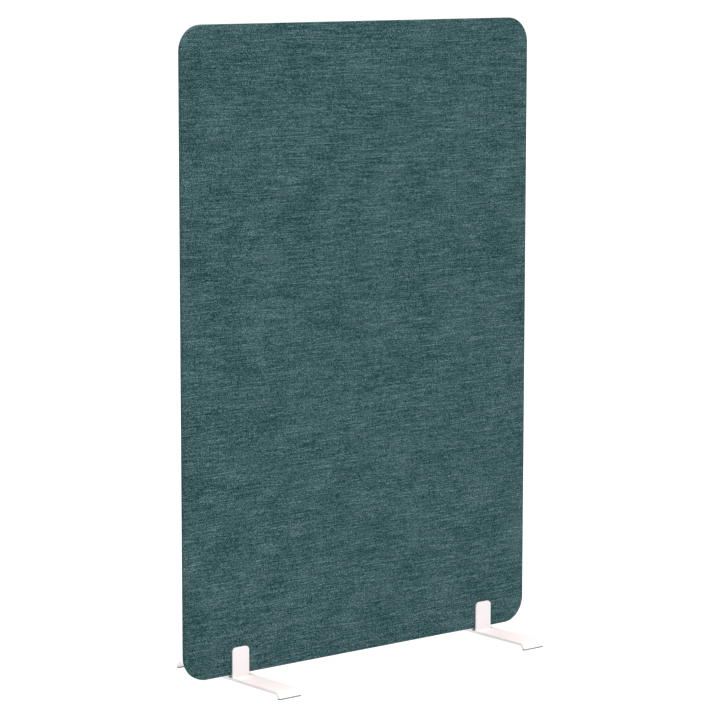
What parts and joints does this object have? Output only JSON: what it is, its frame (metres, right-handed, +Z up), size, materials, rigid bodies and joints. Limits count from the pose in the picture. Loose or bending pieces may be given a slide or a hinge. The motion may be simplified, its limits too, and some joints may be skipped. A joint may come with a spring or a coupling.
{
  "type": "acoustic divider screen",
  "caption": "Free-standing acoustic screen: a thin cloth-covered panel with rounded corners, held upright by bent flat-steel feet that clamp its bottom edge.",
  "frame": {"origin": "on the floor, under the middle of the panel's width and of the feet's length", "axes": "+Z up, +X to the right along the panel seen from the front, +Y from the front to the back"},
  "size_m": [1, 0.38, 1.458],
  "materials": {
    "cloth": "matt melange weave with slubs",
    "seam": "matt sewn seam",
    "felt": "needled acoustic felt",
    "board": "raw fibreboard",
    "coated_steel": "fine-textured satin powder coat",
    "glide": "matt",
    "fastener": "zinc plated"
  },
  "bodies": {
    "root": {"core_board": "board", "front_felt": "felt", "rear_felt": "felt", "front_cover": "cloth", "rear_cover": "cloth", "edge_seam": "seam", "left_foot_bar": "coated_steel", "left_toe_glide": "glide", "left_heel_glide": "glide", "left_front_tongue": "coated_steel", "left_rear_tongue": "coated_steel", "left_screws": "fastener", "left_washers": "fastener", "left_tee_nuts": "fastener", "right_foot_bar": "coated_steel", "right_toe_glide": "glide", "right_heel_glide": "glide", "right_front_tongue": "coated_steel", "right_rear_tongue": "coated_steel", "right_screws": "fastener", "right_washers": "fastener", "right_tee_nuts": "fastener"}
  },
  "joints": []
}
